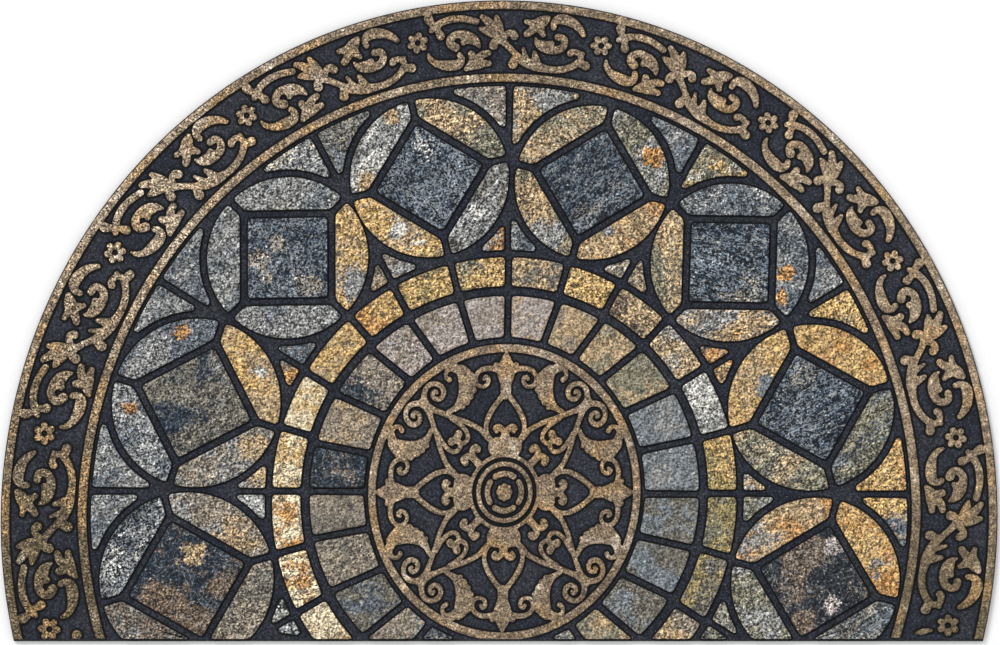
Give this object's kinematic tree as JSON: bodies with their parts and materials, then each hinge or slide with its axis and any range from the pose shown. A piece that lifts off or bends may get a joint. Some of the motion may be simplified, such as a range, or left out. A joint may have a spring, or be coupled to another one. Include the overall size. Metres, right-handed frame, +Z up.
{
  "type": "doormat",
  "caption": "Half-round moulded rubber doormat with flocked relief: paving-stone mosaic, scrollwork border, gold rings and an oval medallion.",
  "frame": {"origin": "middle of the mat's box, on the surface it lies on", "axes": "+X along the straight edge, +Y from the straight edge to the top of the arch, +Z up out of the patterned face"},
  "size_m": [0.949, 0.61, 0.0088],
  "materials": {
    "rubber": "black moulded crumb rubber, matte, bare on the rim and underside",
    "ground_flock": "short charcoal-navy flock on the sunk ground",
    "gold_flock": "short tan-gold flock with fine dark specks, on rings, scrollwork and medallion",
    "stone_flock": "short flock printed in slate grey, tan, ochre and navy, on the raised stones"
  },
  "bodies": {
    "root": {"mat": "rubber"}
  },
  "joints": []
}
